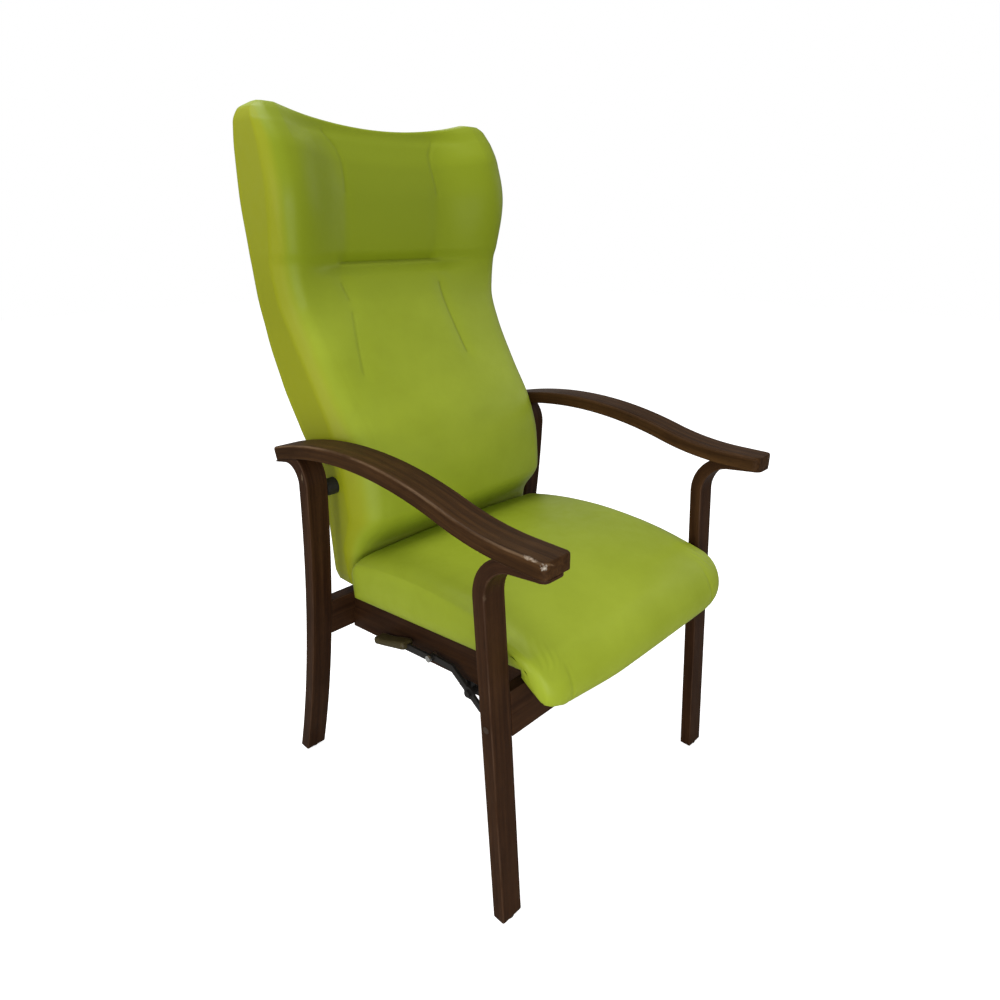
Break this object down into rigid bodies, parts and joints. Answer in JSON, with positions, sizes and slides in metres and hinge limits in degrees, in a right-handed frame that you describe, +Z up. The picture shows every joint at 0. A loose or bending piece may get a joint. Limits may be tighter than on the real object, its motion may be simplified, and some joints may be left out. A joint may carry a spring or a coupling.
{
  "type": "reclining armchair",
  "caption": "High wing-back reclining armchair on a bentwood frame, with a padded sliding seat, a hinged padded back and a side lever that frees the recline.",
  "frame": {"origin": "on the floor, under the middle of the chair's bounding box", "axes": "+Z up, -Y the way the seat faces, +X to the left of a seated person"},
  "size_m": [0.612, 0.7317, 1.214],
  "materials": {
    "vinyl": "satin",
    "stained_wood": "satin",
    "plain_wood": "matte",
    "webbing": "matte",
    "black_plastic": "matte",
    "grip_plastic": "satin",
    "black_steel": "satin",
    "bright_steel": "satin",
    "chrome_rod": "gloss"
  },
  "bodies": {
    "frame": {"barrel_nuts": "bright_steel", "bolt_caps": "black_plastic", "corner_blocks": "plain_wood", "cross_bar": "black_steel", "floor_glides": "black_plastic", "front_rail": "stained_wood", "gas_rod": "chrome_rod", "guide_screws": "bright_steel", "left_arm": "stained_wood", "left_front_leg": "stained_wood", "left_rear_leg": "stained_wood", "left_side_rail": "stained_wood", "leg_bolts": "bright_steel", "pivot_pins": "bright_steel", "pivot_washers": "black_plastic", "rail_glide_strips": "black_plastic", "rear_rail": "stained_wood", "rear_rail_dowels": "plain_wood", "release_head": "black_steel", "right_arm": "stained_wood", "right_front_leg": "stained_wood", "right_rear_leg": "stained_wood", "right_side_rail": "stained_wood", "shaft_bearings": "black_steel"},
    "back": {"back_cushion": "vinyl", "back_rear_panel": "vinyl", "back_webbing": "webbing", "back_bottom_rail": "plain_wood", "back_lumbar_rail": "plain_wood", "back_middle_rail": "plain_wood", "back_top_rail": "plain_wood", "left_back_stile": "plain_wood", "right_back_stile": "plain_wood", "left_pivot_boss": "black_steel", "right_pivot_boss": "black_steel", "drive_pins": "bright_steel", "drive_spacers": "bright_steel"},
    "seat": {"seat_cushion": "vinyl", "seat_board": "plain_wood", "left_seat_runner": "plain_wood", "right_seat_runner": "plain_wood", "left_slide_plate": "black_steel", "right_slide_plate": "black_steel", "gas_cylinder": "black_steel", "gas_clevis": "black_steel", "gas_clevis_pin": "bright_steel"},
    "release_lever": {"release_shaft": "black_steel", "trip_finger": "black_steel", "lever_crank": "black_steel", "lever_arm": "black_steel", "lever_bolt": "bright_steel", "lever_paddle": "grip_plastic"},
    "release_pin": {"release_pin": "bright_steel"}
  },
  "joints": [
    {"name": "back_recline", "type": "hinge", "parent": "frame", "child": "back", "pos_m": [0, 0.17704, 0.604], "axis": [-1, 0, 0], "range_deg": [0, 22]},
    {"name": "seat_slide", "type": "slide", "parent": "frame", "child": "seat", "axis": [0, -0.9945, 0.1045], "range_m": [0, 0.0763]},
    {"name": "release_lever", "type": "hinge", "parent": "frame", "child": "release_lever", "pos_m": [0, -0.146, 0.32198], "axis": [1, 0, 0], "range_deg": [0, 8], "stiffness_Nm_per_rad": 4, "springref_deg": -5.73},
    {"name": "release_pin", "type": "slide", "parent": "frame", "child": "release_pin", "axis": [0, 0.9945, -0.1045], "range_m": [0, 0.00371]}
  ],
  "couplings": [
    {"joint": "seat_slide", "follows": "back_recline", "m_per_rad": 0.19858},
    {"joint": "release_pin", "follows": "release_lever", "m_per_rad": 0.0265}
  ]
}
